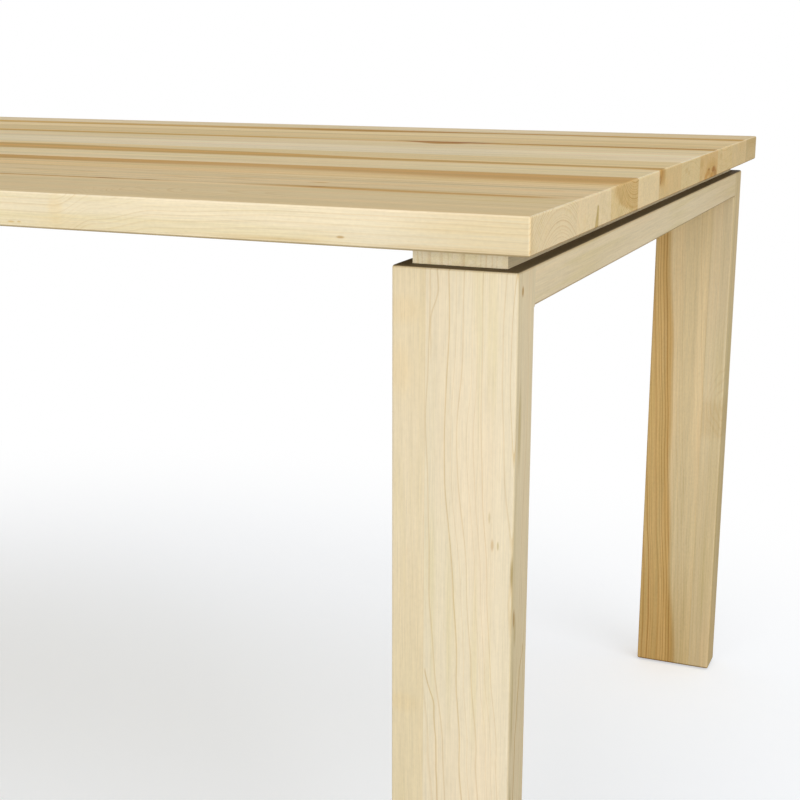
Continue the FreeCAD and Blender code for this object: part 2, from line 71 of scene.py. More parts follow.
# %% [markdown]
# ## The camera
# The photograph looks along the table from near its right front corner, from only a hand's breadth
# above the top. The place, the angles and the lens were worked out from the outlines of the top and the
# legs. A camera can also be turned by hand until the edges meet, but a turn by measured angles can be
# repeated.

# %% The camera
CAMERA_PLACE = (1.3076, -1.4834, 0.8701)
CAMERA_YAW = 22.549
CAMERA_PITCH = 13.974
CAMERA_ROLL = 0.117
CAMERA_LENS = 64.591
SENSOR_WIDTH = 36

turn = Matrix.Rotation(math.radians(CAMERA_YAW), 4, "Z")
turn = turn @ Matrix.Rotation(math.radians(90 - CAMERA_PITCH), 4, "X")
turn = turn @ Matrix.Rotation(math.radians(CAMERA_ROLL), 4, "Z")
bpy.ops.object.camera_add(location=CAMERA_PLACE, rotation=turn.to_euler())
camera = bpy.context.object
camera.data.sensor_width = SENSOR_WIDTH
camera.data.lens = CAMERA_LENS
bpy.context.scene.camera = camera
bpy.context.scene.view_settings.view_transform = "Standard"
print("camera at", CAMERA_PLACE, "with a lens of", CAMERA_LENS, "mm")

# %% [markdown]
# ## Shader maths as Python
# A material is a small chart of nodes, and most of them only add and multiply. Placing each by hand is
# slow to read, so one class wraps a node's output and lets Python's own signs add the Math nodes. A
# second class holds the chart. One of its methods adds any other node, with the settings first and then
# the values or links, and another closes a material with its shader.

# %% A value in a node chart
class Value:
    """One output of a shader node. Arithmetic with it adds Math nodes to the same chart."""

    def __init__(self, chart, socket):
        self.chart = chart
        self.socket = socket

    def output(self, name):
        """Another output of the same node."""
        return Value(self.chart, self.socket.node.outputs[name])

    def maths(self, operation, *terms):
        return self.chart.node("Math", {"operation": operation}, dict(enumerate(terms)))

    def __add__(self, other):
        return self.maths("ADD", self, other)

    def __radd__(self, other):
        return self.maths("ADD", other, self)

    def __sub__(self, other):
        return self.maths("SUBTRACT", self, other)

    def __rsub__(self, other):
        return self.maths("SUBTRACT", other, self)

    def __mul__(self, other):
        return self.maths("MULTIPLY", self, other)

    def __rmul__(self, other):
        return self.maths("MULTIPLY", other, self)

    def __truediv__(self, other):
        return self.maths("DIVIDE", self, other)

    def __rtruediv__(self, other):
        return self.maths("DIVIDE", other, self)

    def __mod__(self, other):
        return self.maths("FLOORED_MODULO", self, other)

    def __pow__(self, other):
        return self.maths("POWER", self, other)

    def __abs__(self):
        return self.maths("ABSOLUTE", self)

    def at_most(self, other):
        return self.maths("MINIMUM", self, other)

    def at_least(self, other):
        return self.maths("MAXIMUM", self, other)


# %% A node chart
class Chart:
    """The emptied node tree of a material or a world, and the methods that add to it."""

    def __init__(self, owner):
        owner.use_nodes = True
        self.owner = owner
        self.tree = owner.node_tree
        self.tree.nodes.clear()

    def node(self, kind, settings=None, sockets=None, output=0):
        """Adds a node, with its settings first, and hands back one of its outputs."""
        made = self.tree.nodes.new("ShaderNode" + kind)
        for name, setting in (settings or {}).items():
            setattr(made, name, setting)
        for name, value in (sockets or {}).items():
            if isinstance(value, Value):
                self.tree.links.new(value.socket, made.inputs[name])
            else:
                made.inputs[name].default_value = value
        return Value(self, made.outputs[output]) if made.outputs else None

    def close(self, surface):
        """Ends a material in a Principled shader, and hands the material back."""
        shader = self.node("BsdfPrincipled", {}, surface)
        self.node("OutputMaterial", {}, {"Surface": shader})
        return self.owner


# %% Colours and soft steps
def paint(*levels):
    """A colour read off a screen, each part from 0 to 255, as the linear numbers that a shader takes."""
    linear = [((level / 255 + 0.055) / 1.055) ** 2.4 for level in levels]
    return (*linear, 1.0)


def ramp(value, low, high):
    """A soft step from 0 at low to 1 at high. With high below low the step goes down."""
    ends = {"Value": value, "From Min": low, "From Max": high}
    return value.chart.node("MapRange", {"interpolation_type": "SMOOTHSTEP"}, ends)


def between(value, low, high, soft):
    """1 from low to high, and 0 outside, with borders that are soft over a given width."""
    return ramp(value, low - soft / 2, low + soft / 2) * ramp(value, high + soft / 2, high - soft / 2)


def follow(along, stops):
    """A border that bends from stop to stop: places along the board, and the border's place there."""
    border = stops[0][1]
    for (start, before), (end, after) in zip(stops, stops[1:]):
        border = border + ramp(along, start, end) * (after - before)
    return border


def blend(share, under, over, how="MIX"):
    """One colour laid over another by a share from 0 to 1."""
    mix = {"data_type": "RGBA", "blend_type": how}
    return share.chart.node("Mix", mix, {0: share, 6: under, 7: over}, 2)


print("a mid grey of 128 is", round(paint(128)[0], 3), "in linear light")

# %% [markdown]
# ## Floor and light
# The table stands in a white studio. Soft light comes from all round, one wide lamp in front lifts the
# long edge and the legs above the top, and a weaker one stands off the right end. The floor and the
# backdrop are white only to what looks at them: the Light Path node tells a camera's ray from the light
# itself, so the table isn't lit any brighter for it. Near the table the floor keeps the soft shadow,
# and further out it turns into the backdrop, as a paper sweep does.

# %% The studio's light
SKY_LIGHT = 0.52
LAMP_AIM = Vector((0.7, -0.2, 0.5))
LAMP_SIDES = (3.0, 2.0)
LAMPS = {"front": (Vector((0.4, -5.0, 1.2)), 105), "end": (Vector((4.0, -1.8, 2.0)), 39)}


def looked_at(chart):
    """1 for a ray from the camera, a mirror or a glass, and 0 for the light itself."""
    ray = chart.node("LightPath")
    seen = ray.output("Is Camera Ray") + ray.output("Is Glossy Ray") + ray.output("Is Transmission Ray")
    return seen.at_most(1)


studio = bpy.data.worlds.new("studio")
bpy.context.scene.world = studio
sky = Chart(studio)
strength = SKY_LIGHT + looked_at(sky) * (1 - SKY_LIGHT)
backdrop = sky.node("Background", {}, {"Color": (1, 1, 1, 1), "Strength": strength})
sky.node("OutputWorld", {}, {"Surface": backdrop})

for side, (place, watts) in LAMPS.items():
    bpy.ops.object.select_all(action="DESELECT")
    bpy.ops.object.light_add(type="AREA", location=place)
    lamp = bpy.context.object
    lamp.name = f"{side}_lamp"
    lamp.rotation_euler = (LAMP_AIM - place).to_track_quat("-Z", "Y").to_euler()
    lamp.data.shape = "RECTANGLE"
    lamp.data.size, lamp.data.size_y = LAMP_SIDES
    lamp.data.energy = watts
    print(side, "lamp:", watts, "W,", round((LAMP_AIM - place).length, 2), "m from the table")

# %% The studio's floor
FLOOR_SIDE = 60
FLOOR_TONE = (0.55, 0.55, 0.55, 1)
FLOOR_SEEN = (1.35, 1.42, 1.53, 1)
SHADOW_MIDDLE = (0.32, -0.56, 0.0)
SWEEP_START = 0.51
SWEEP_END = 1.88

bpy.ops.object.select_all(action="DESELECT")
bpy.ops.mesh.primitive_plane_add(size=FLOOR_SIDE)
floor = bpy.context.object
floor.name = "studio_floor"
ground = Chart(bpy.data.materials.new("studio_floor"))
spot = ground.node("TexCoord", {}, {}, "Object")
away = ground.node("VectorMath", {"operation": "DISTANCE"}, {0: spot, 1: SHADOW_MIDDLE}, "Value")
shaded = ground.node("BsdfDiffuse", {}, {"Color": FLOOR_SEEN})
white = ground.node("Emission", {}, {"Color": (1, 1, 1, 1)})
as_light = ground.node("BsdfDiffuse", {}, {"Color": FLOOR_TONE})
as_seen = ground.node("MixShader", {}, {0: ramp(away, SWEEP_START, SWEEP_END), 1: shaded, 2: white})
either = ground.node("MixShader", {}, {0: looked_at(ground), 1: as_light, 2: as_seen})
ground.node("OutputMaterial", {}, {"Surface": either})
floor.data.materials.append(ground.owner)
print("floor: shaded under the table, white from", SWEEP_END, "m out")

# %% [markdown]
# ## Boards with rounded edges
# A joiner planes a board square and then takes its sharp edges, the arrises, off with a router bit. The
# packed boards are rounded too, but in two or three flat facets. Here each board starts as a cube of
# its size, the edges that a hand can reach are picked by where they lie, and a bevel of several steps
# rounds them. Edges that lie in a glue line stay sharp. A Weighted Normal modifier keeps the broad
# faces flat while the arris shades softly. The smoothing angle is only a little more than one step of
# the bevel, so that an arris can also end hard.

# %% Sawn boards
def add_board(name, low, high):
    """A board planed square, between two corners."""
    bpy.ops.object.select_all(action="DESELECT")
    bpy.ops.mesh.primitive_cube_add(size=1, location=(low + high) / 2, scale=high - low)
    bpy.ops.object.transform_apply(location=True, rotation=True, scale=True)
    board = bpy.context.object
    board.name = name
    return board


def saw_across(board, height):
    """A level cut line round an upright board, so that its edges can end there."""
    bpy.ops.object.mode_set(mode="EDIT")
    bpy.ops.mesh.select_all(action="SELECT")
    bpy.ops.mesh.bisect(plane_co=(0, 0, height), plane_no=(0, 0, 1))
    bpy.ops.object.mode_set(mode="OBJECT")


# %% Rounded boards
TINY = 1e-5
ARRIS_STEPS = 5
SMOOTH_ANGLE = math.radians(25)


def round_over(board, radius, reached):
    """Rounds the edges whose middles the rule picks, and smooths the shading over them."""
    bpy.ops.object.mode_set(mode="EDIT")
    bpy.ops.mesh.select_mode(type="EDGE")
    bpy.ops.mesh.select_all(action="DESELECT")
    shape = bmesh.from_edit_mesh(board.data)
    for edge in shape.edges:
        start, end = edge.verts
        if reached((start.co + end.co) / 2):
            edge.select_set(True)
    bmesh.update_edit_mesh(board.data)
    bpy.ops.mesh.bevel(offset=radius, segments=ARRIS_STEPS, affect="EDGES")
    bpy.ops.object.mode_set(mode="OBJECT")
    bpy.ops.object.shade_smooth_by_angle(angle=SMOOTH_ANGLE)
    bpy.ops.object.modifier_add(type="WEIGHTED_NORMAL")
    flatten = board.modifiers[-1]
    flatten.keep_sharp = True
    bpy.ops.object.modifier_apply(modifier=flatten.name)


def stand_in(piece, node):
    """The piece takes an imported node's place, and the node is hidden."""
    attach(piece, "root")
    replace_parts(piece, node)


print("an arris of", ARRIS_STEPS, "steps turns", 90 / ARRIS_STEPS, "degrees a step")

# %% [markdown]
# ## The staves of the top
# Ten staves of different widths lie side by side. All of them show at the two ends, but only the first
# and the last have a long edge that a hand can reach. So an edge is rounded when it lies on two outer
# faces of the whole top.

# %% The staves
STAVES = 10
TOP_ARRIS = 0.002
top_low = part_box("top_stave_01")[0]


def on_two_faces(middle):
    """True for the edges of the whole top."""
    at_end = abs(abs(middle.x) - CAD_HIGH.x) < TINY
    at_side = abs(abs(middle.y) - CAD_HIGH.y) < TINY
    above_or_below = abs(middle.z - top_low.z) < TINY or abs(middle.z - CAD_HIGH.z) < TINY
    return at_end + at_side + above_or_below == 2


staves = []
for number in range(1, STAVES + 1):
    node = f"top_stave_{number:02d}"
    stave = add_board(f"stave_{number:02d}", *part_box(node))
    round_over(stave, TOP_ARRIS, on_two_faces)
    stand_in(stave, node)
    staves.append(stave)
print("staves:", [round(stave.dimensions.y * 1000) for stave in staves], "mm wide")

# %% [markdown]
# ## The legs
# Each leg is a narrow and a wide board glued side by side. The inner upright arris is rounded only up
# to the rail, because above that the rail runs into the leg flush. So the board first gets two cut
# lines, one at the rail's underside and one a little lower. The round ends at the lower line and runs
# out between the two, as a router bit stopped by the rail leaves it, and the wood above stays square.
# The leg is made once, at the right front corner. The left front leg is a copy moved along, and the
# rear legs are copies turned half round.

# %% One leg
LEG_ARRIS = 0.0025
RUN_OUT = 0.0006
rail_low, rail_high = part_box("right_rail")
leg_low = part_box("front_right_leg_narrow_board")[0]
leg_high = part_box("front_right_leg_wide_board")[1]


def leg_edge(middle):
    """True for the edges of a front leg that are rounded."""
    on_side = min(abs(middle.x - leg_low.x), abs(middle.x - leg_high.x)) < TINY
    on_front = abs(middle.y - leg_low.y) < TINY
    on_back = abs(middle.y - leg_high.y) < TINY
    at_foot = abs(middle.z - leg_low.z) < TINY
    at_top = abs(middle.z - leg_high.z) < TINY
    below_rail = middle.z < rail_low.z - RUN_OUT
    if at_foot:
        return on_side or on_front or on_back
    if at_top:
        return on_side or on_front
    return on_side and (on_front or on_back and below_rail)


leg_boards = {}
for width in ("narrow", "wide"):
    node = f"front_right_leg_{width}_board"
    board = add_board(node.replace("_leg", ""), *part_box(node))
    saw_across(board, rail_low.z)
    saw_across(board, rail_low.z - RUN_OUT)
    round_over(board, LEG_ARRIS, leg_edge)
    stand_in(board, node)
    leg_boards["front_right", width] = board
print("one leg:", [round(side * 1000) for side in leg_high - leg_low], "mm")

# %% The other three legs
RIGHT_FRAME = Vector(((leg_low.x + leg_high.x) / 2, 0, 0))
TO_LEFT_FRAME = -2 * RIGHT_FRAME


def copy_board(board, name):
    bpy.ops.object.select_all(action="DESELECT")
    board.select_set(True)
    bpy.context.view_layer.objects.active = board
    bpy.ops.object.duplicate()
    copy = bpy.context.object
    copy.name = name
    copy.parent = None
    return copy


for corner in ("front_left", "rear_right", "rear_left"):
    for width in ("narrow", "wide"):
        copy = copy_board(leg_boards["front_right", width], f"{corner}_{width}_board")
        if corner == "rear_right":
            bpy.ops.transform.rotate(value=math.pi, orient_axis="Z", center_override=RIGHT_FRAME)
        elif corner == "rear_left":
            bpy.ops.transform.rotate(value=math.pi, orient_axis="Z", center_override=(0, 0, 0))
        else:
            bpy.ops.transform.translate(value=TO_LEFT_FRAME)
        bpy.ops.object.transform_apply(location=True, rotation=True, scale=True)
        # A copy still says that it stands for its original's node.
        del copy["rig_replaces"]
        stand_in(copy, f"{corner}_leg_{width}_board")
        leg_boards[corner, width] = copy
print("leg boards:", len(leg_boards))

# %% [markdown]
# ## How the wood grew
# A picture of wood wrapped round a board never meets itself at the edges. Real wood is solid: a trunk
# lays a ring each year round its pith, and the saw only shows what is there. So the pattern is worked
# out in space. Each board knows where its pith was, and a point's distance from it, bent by slow noise,
# says which ring it lies in. Arches on an end, lines on a face and flames on an edge all follow from
# that one distance.

# %% How a board grew
LENGTHWISE = {"X": 0, "Y": 1, "Z": 2}
STRAIGHT = ((0.0, 0.0, 0.0), (1.0, 0.0, 0.0))
BARE = (1.0, 1.0, 1.0)


@dataclass
class Timber:
    """How one board grew, in metres in the table's frame, and the tints of its cut ends and upper face.

    A bend is a row of stops: a place along the board, and how far the pith has moved there in the two
    directions across it.
    """

    grain: str
    pith: tuple
    seed: int
    plain: tuple = (237, 221, 187)
    ring: float = 0.0035
    lines: float = 0.5
    late: float = 0.70
    wander: float = 0.004
    bend: tuple = STRAIGHT
    streaks: float = 0.18
    cut: tuple = BARE
    cut_lines: float = 0.6
    aged: tuple = BARE
    arris_highlight: float = 0.25


# %% The rings of a board
# A seed moves its board this far through the noise, so that no two boards look alike.
SEED_STEP = (1.37, 2.11, 0.73)
# Good and poor years come in slow waves: how many there are to a ring, and how many rings they shift.
UNEVEN_WAVES = 0.29
UNEVEN_RINGS = 2.4


class Wood:
    """The places, the rings and the colour of one board, as values in its node chart."""

    def __init__(self, name, timber):
        self.timber = timber
        self.chart = Chart(bpy.data.materials.new(name))
        self.place = self.chart.node("TexCoord", {}, {}, "Object")
        self.x = self.chart.node("SeparateXYZ", {}, {0: self.place})
        self.y = self.x.output("Y")
        self.z = self.x.output("Z")
        normal = self.chart.node("NewGeometry", {}, {}, "Normal")
        facing = self.chart.node("SeparateXYZ", {}, {0: normal})
        self.facing = [facing, facing.output("Y"), facing.output("Z")]
        self.on_end = ramp(abs(self.facing[LENGTHWISE[timber.grain]]), 0.5, 0.9)
        shift = [timber.seed * step for step in SEED_STEP]
        self.apart = self.chart.node("VectorMath", {"operation": "ADD"}, {0: self.place, 1: shift})
        self.count_rings()

    def noise(self, along, across, detail=1.0):
        """Noise drawn out along the grain: so many waves to a metre along it, and across it."""
        waves = [across, across, across]
        waves[LENGTHWISE[self.timber.grain]] = along
        drawn = self.chart.node("VectorMath", {"operation": "MULTIPLY"}, {0: self.apart, 1: waves})
        return self.chart.node("TexNoise", {}, {"Vector": drawn, "Scale": 1.0, "Detail": detail})

    def count_rings(self):
        """Finds each point's ring, and where in the ring the dark late wood lies."""
        timber = self.timber
        places = [self.x, self.y, self.z]
        self.along = places.pop(LENGTHWISE[timber.grain])
        side, depth = places
        sideways = follow(self.along, [(stop, moved) for stop, moved, _ in timber.bend])
        inwards = follow(self.along, [(stop, moved) for stop, _, moved in timber.bend])
        side = side - timber.pith[0] - sideways
        depth = depth - timber.pith[1] - inwards
        slow = (self.noise(1.7, 7) - 0.5) * (2 * timber.wander)
        quick = (self.noise(8, 30) - 0.5) * (0.8 * timber.wander)
        self.radius = (side * side + depth * depth) ** 0.5 + slow + quick
        drawn = {"W": self.radius, "Scale": UNEVEN_WAVES / timber.ring, "Detail": 1.0}
        uneven = self.chart.node("TexNoise", {"noise_dimensions": "1D"}, drawn)
        rings = self.radius / timber.ring + uneven * UNEVEN_RINGS
        within = rings % 1
        good_year = self.chart.node("TexWhiteNoise", {"noise_dimensions": "1D"}, {"W": rings - within})
        late = ramp(within, timber.late, 0.95) * ramp(within, 1.0, 0.96)
        self.line = late * (0.2 + 0.8 * good_year)

    def reach(self, place, size):
        """How far out from a place a point lies: 0 in the middle, and 1 at the half sizes."""
        gap = self.chart.node("VectorMath", {"operation": "SUBTRACT"}, {0: self.place, 1: place})
        gap = self.chart.node("VectorMath", {"operation": "DIVIDE"}, {0: gap, 1: size})
        return self.chart.node("VectorMath", {"operation": "LENGTH"}, {0: gap}, "Value")

    def fleck(self, place, size):
        """A soft spot: 1 in its middle and 0 outside its half sizes."""
        return ramp(self.reach(place, size), 1.0, 0.3)

    def stain(self, share, tint):
        """Lays a tint over the colour so far, by a share from 0 to 1."""
        self.colour = blend(share, self.colour, (*tint, 1), "MULTIPLY")


print("wood is worked out in space, along", sorted(LENGTHWISE))

# %% [markdown]
# ## Colour and sheen of the wood
# On the plain wood lie the growth lines, fine fibres, a few short pores, long streaks and clouds. What
# faces up has yellowed a little in daylight, and the cut ends drink more oil, some boards more than
# others. Along the arrises, most strongly on the top, a painted highlight makes the wood paler, and
# painted shade makes the lower arrises darker. The sheen is that of oiled wood: matt, and a little
# smoother on the pale fibres and streaks than on the late wood.

# %% The colour of plain wood
LINE_TINT = (0.84, 0.74, 0.56)
PORE_TINT = (0.90, 0.84, 0.72)
ROSY_TINT = (1.01, 0.985, 0.975)
OLIVE_TINT = (0.985, 0.98, 0.89)


def colour_wood(wood):
    """The colour of plain wood with its lines, fibres, pores, streaks and clouds."""
    timber = wood.timber
    wood.fibre = wood.noise(26, 900, 2.0)
    pore = ramp(wood.noise(70, 1300), 0.62, 0.76)
    wood.streak = wood.noise(2.6, 170, 2.0)
    band = wood.noise(0.9, 42)
    cloud = wood.noise(5, 17)
    speckle = wood.noise(240, 420) - 0.5
    tone = 1 + (wood.fibre - 0.5) * 0.26 + (cloud - 0.5) * 0.08
    tone = tone + speckle * (0.05 + 0.3 * timber.streaks)
    tone = tone + (wood.streak + band - 1) * (timber.streaks * (1 - 0.6 * wood.on_end))
    plain = paint(*timber.plain)
    wood.colour = wood.chart.node("VectorMath", {"operation": "SCALE"}, {0: plain[:3], "Scale": tone})
    wood.stain(ramp(cloud + band, 1.0, 1.35), ROSY_TINT)
    wood.stain(ramp(cloud + wood.streak, 1.0, 0.65), OLIVE_TINT)
    wood.stain(pore * 0.3, PORE_TINT)
    lines = timber.lines + wood.on_end * (timber.cut_lines - timber.lines)
    wood.stain(wood.line * lines, LINE_TINT)


# %% The finish
ARRIS_HIGHLIGHT_TINT = (1.17, 1.175, 1.21)
LOWER_ARRIS_SHADE_TINT = (0.62, 0.55, 0.44)
PLAIN_ROUGHNESS = 0.66
OIL_SPECULAR = 0.12
FEEL = {"Strength": 0.15, "Distance": 0.0003}


def paint_arris_light_and_shade(wood):
    """Painted highlight on the upper and upright arrises, and painted shade on the lower ones."""
    across, deep, up = wood.facing
    broadest = abs(across).at_least(abs(deep)).at_least(abs(up))
    # Painted highlight on the upper and upright arrises.
    highlit = ramp(broadest, 0.992, 0.92) * ramp(up, -0.3, 0.0) * (1 - 0.2 * up)
    wood.stain(highlit * wood.timber.arris_highlight, ARRIS_HIGHLIGHT_TINT)
    # Painted shade on the lower arrises.
    wood.stain(ramp(up, -0.05, -0.40) * ramp(up, -0.99, -0.90), LOWER_ARRIS_SHADE_TINT)


def oil(wood):
    """Closes the material: yellowed upper face, cut ends, painted arris light and shade, sheen and feel of
    the fibres.
    """
    wood.stain(ramp(wood.facing[2], 0.88, 0.98), wood.timber.aged)
    wood.stain(wood.on_end, wood.timber.cut)
    paint_arris_light_and_shade(wood)
    rough = PLAIN_ROUGHNESS - (wood.fibre - 0.5) * 0.16 - (wood.streak - 0.5) * 0.20
    rough = rough + wood.line * 0.06
    feel = wood.chart.node("Bump", {}, {**FEEL, "Height": wood.fibre + wood.line * 0.4})
    surface = {"Base Color": wood.colour, "Roughness": rough, "Normal": feel}
    surface["Specular IOR Level"] = OIL_SPECULAR
    return wood.chart.close(surface)


print("growth lines take", [round(1 - part, 2) for part in LINE_TINT], "of the red, green and blue")

# %% [markdown]
# ## The staves' wood
# Pale sapwood makes up most of the top, but the sawyer left some brown heartwood along one edge of
# several staves, and there is a knot's shadow in the seventh. Such marks could be painted on, but a
# real one goes down into the board, and some come out at its end. So each mark is a region in space: a
# border that bends along the stave, or a soft spot. Each stave gets its own pith and tone, then the
# marks that its board shows. The first stave, whose long edge shows, was cut from calmer wood.

# %% Sawn staves
AGED = (0.98, 0.915, 0.77)
EDGE_BEND = ((0.59, 0, -0.022), (0.63, 0, -0.006), (0.69, 0, 0.004), (0.80, 0, 0.009))
STAVE_TIMBER = [
    Timber("X", (-0.425, 0.655), 1, plain=(238, 223, 190), ring=0.0030, late=0.50, wander=0.002,
           bend=EDGE_BEND, cut=(1.14, 1.08, 0.97), cut_lines=1.0, aged=(0.96, 0.87, 0.69)),
    Timber("X", (-0.320, 0.480), 2, plain=(239, 219, 181), ring=0.0032, lines=0.4,
           cut=(1.13, 1.11, 1.04), cut_lines=0.15, aged=AGED),
    Timber("X", (-0.181, 0.796), 3, plain=(241, 217, 171), ring=0.0026, lines=0.4, late=0.55, wander=0.002,
           cut=(1.03, 1.005, 0.88), cut_lines=1.0, aged=AGED),
    Timber("X", (-0.130, 1.050), 4, plain=(244, 229, 194), ring=0.0030, lines=0.3,
           cut=(1.06, 0.97, 0.81), cut_lines=0.1, aged=AGED),
    Timber("X", (-0.092, 0.760), 5, plain=(244, 225, 181), ring=0.0040, lines=0.4,
           cut=(0.92, 0.82, 0.65), aged=AGED),
    Timber("X", (0.060, 0.600), 6, plain=(252, 241, 217), ring=0.0034, lines=0.3,
           cut=(0.83, 0.73, 0.495), aged=AGED),
    Timber("X", (0.190, 0.705), 7, plain=(248, 232, 199), ring=0.0030, lines=0.4,
           cut=(0.885, 0.715, 0.45), aged=AGED),
    Timber("X", (0.280, 0.980), 8, plain=(240, 219, 174), ring=0.0036, lines=0.4,
           cut=(1.0, 0.93, 0.78), aged=AGED),
    Timber("X", (0.405, 0.780), 9, plain=(250, 231, 192), ring=0.0030, lines=0.4,
           cut=(0.895, 0.815, 0.645), aged=AGED),
    Timber("X", (0.460, 0.660), 10, plain=(249, 235, 207), ring=0.0034, lines=0.4,
           cut=(0.80, 0.69, 0.46), aged=AGED),
]
STAVE_STREAKS = 0.38
EDGE_STREAKS = 0.16
STAVE_ARRIS_HIGHLIGHT = 0.65

stave_woods = []
for stave, timber in zip(staves, STAVE_TIMBER):
    timber.streaks = EDGE_STREAKS if stave is staves[0] else STAVE_STREAKS
    # The staves' arrises get a stronger painted highlight.
    timber.arris_highlight = STAVE_ARRIS_HIGHLIGHT
    wood = Wood(stave.name, timber)
    colour_wood(wood)
    stave_woods.append(wood)
print("wood for", len(stave_woods), "staves")

# %% Heartwood in the staves
HEART_TINT = (0.745, 0.56, 0.27)
BAND_TINT = (0.73, 0.53, 0.15)
FRONT = -CAD_HIGH.y
END = CAD_HIGH.x
FACE = CAD_HIGH.z


def skin(wood):
    """1 near the upper face, for marks that go only skin deep and stop at the right end's arris."""
    short_of_end = ramp(wood.x, END - 0.0004, END - TOP_ARRIS)
    return ramp(wood.z, FACE - 0.0035, FACE - 0.0008) * short_of_end


def heart_stave_3(wood):
    """Golden heart along the rear glue line. It widens to the right and bellies out below the face."""
    border = follow(wood.x, [(0.45, FRONT + 0.288), (END, FRONT + 0.243)])
    border = border + (wood.streak - 0.5) * (0.04 - 0.025 * wood.on_end)
    depth = (FACE - wood.z).at_least(0) ** 2.4 * 370
    strength = follow(wood.x, [(0.45, 1.0), (0.65, 0.88)])
    soft = follow(wood.x, [(0.45, 0.014), (0.65, 0.034)]) - 0.026 * wood.on_end
    return ramp(wood.y - depth, border - 0.010, border + soft) * strength


def heart_stave_5(wood):
    """A brown band behind the front glue line, near the upper face, that narrows to a line."""
    rear = [(0.20, FRONT + 0.490), (0.50, FRONT + 0.472), (0.72, FRONT + 0.450), (END, FRONT + 0.442)]
    return between(wood.y, FRONT + 0.424, follow(wood.x, rear), 0.008) * ramp(wood.z, 0.728, 0.742)


def heart_stave_7(wood):
    """A brown line along the rear glue line, strong to the right."""
    strength = follow(wood.x, [(0.38, 1.0), (0.52, 0.6), (0.75, 1.0)])
    return ramp(wood.y, FRONT + 0.690, FRONT + 0.710) * strength * skin(wood)


def heart_stave_9(wood):
    """A brown band that draws back to the rear glue line and widens a little at the right end."""
    front = [(0.0, FRONT + 0.878), (0.45, FRONT + 0.872), (0.70, FRONT + 0.899), (END, FRONT + 0.884)]
    strength = follow(wood.x, [(0.20, 0.8), (0.40, 1.0), (0.80, 1.0), (0.92, 0.85)])
    band = between(wood.y, follow(wood.x, front), FRONT + 0.918, 0.010) * strength
    return band * skin(wood)


# %% Stained heartwood
HEARTS = {
    3: (heart_stave_3, HEART_TINT),
    5: (heart_stave_5, HEART_TINT),
    7: (heart_stave_7, BAND_TINT),
    9: (heart_stave_9, BAND_TINT),
}
for number, (region, tint) in HEARTS.items():
    wood = stave_woods[number - 1]
    grainy = 0.35 + 1.2 * wood.streak
    ringed = 0.52 + 0.5 * wood.line
    wood.stain(region(wood) * (grainy + (ringed - grainy) * wood.on_end), tint)
ninth = stave_woods[8]
twice = follow(ninth.x, [(0.33, 0.0), (0.43, 0.45), (0.72, 0.45), (0.86, 0.15)])
ninth.stain(heart_stave_9(ninth) * twice, BAND_TINT)
print("heartwood in staves", sorted(HEARTS))

# %% A knot's shadow
KNOT_TINT = (0.60, 0.41, 0.15)
KNOT_MIDDLE = 0.665
KNOT_HALF_LENGTH = 0.068
KNOT_BASE = FRONT + 0.724
KNOT_WIDTH = 0.046

seventh = stave_woods[6]
reach = abs(seventh.x - KNOT_MIDDLE) / KNOT_HALF_LENGTH
reach = reach + (KNOT_BASE - seventh.y) / KNOT_WIDTH + (seventh.noise(14, 90) - 0.5) * 0.5
seventh.stain(ramp(reach, 1.15, 0.90) * ramp(seventh.z, 0.724, 0.736), KNOT_TINT)
behind = ramp(seventh.y, FRONT + 0.706, FRONT + 0.716) * ramp(seventh.x, 0.62, 0.70)
behind = behind * follow(seventh.x, [(0.70, 0.6), (0.90, 0.8)])
seventh.stain(behind * skin(seventh), KNOT_TINT)
print("a knot's shadow in stave 7,", KNOT_MIDDLE, "m to the right of the middle")

# %% Golden lines along the first glue line
GOLDEN_LINE = [(0.70, FRONT + 0.135), (0.90, FRONT + 0.1265)]
THIN_LINE = FRONT + 0.132

first, second = stave_woods[:2]
golden = ramp(abs(second.y - follow(second.x, GOLDEN_LINE)), 0.0120, 0.0040)
golden = golden * ramp(second.x, 0.66, 0.78) * ramp(second.x, END, 0.95)
second.stain(golden * skin(second), HEART_TINT)
beside = ramp(first.y, FRONT + 0.112, FRONT + 0.123)
beside = beside * ramp(first.x, 0.76, 0.86) * ramp(first.x, END, 0.95)
first.stain(beside * skin(first) * 0.4, HEART_TINT)
thin = ramp(abs(second.y - THIN_LINE), 0.0055, 0.0015) * ramp(second.x, 0.66, 0.54)
second.stain(thin * skin(second) * (0.4 + second.streak), HEART_TINT)
print("golden lines on both sides of the first glue line")

# %% A patch and changes of tone
PATCH_TINT = (0.68, 0.62, 0.41)
PATCH_LEFT = [(0.720, FRONT + 0.1785), (0.7385, FRONT + 0.1845)]
PATCH_RIGHT = FRONT + 0.1895
PATCH_TOP = 0.7405
PALE_TINT = (1.07, 1.045, 1.01)
COOL_TINT = (0.965, 0.98, 1.0)

left = follow(second.z, PATCH_LEFT)
patch = ramp(second.y, left - 0.001, left + 0.001)
patch = patch * ramp(second.y, PATCH_RIGHT + 0.0015, PATCH_RIGHT - 0.0015)
patch = patch * ramp(second.z, PATCH_TOP, PATCH_TOP - 0.0025)
second.stain(patch * ramp(second.x, 0.96, 0.985), PATCH_TINT)
dark_line = between(first.z, 0.7220, 0.7250, 0.002) * ramp(first.noise(12, 60), 0.35, 0.60)
first.stain(dark_line * ramp(first.y, FRONT + 0.02, FRONT + 0.005) * 0.28, HEART_TINT)
sixth = stave_woods[5]
sixth.stain(ramp(sixth.x, 0.72, 0.86), PALE_TINT)
in_front = ramp(first.facing[1], -0.5, -0.9)
first.stain(in_front * ramp(first.x, 0.82, 0.92), COOL_TINT)
print("a patch on the end of stave 2, and stave 6 paler to the right")

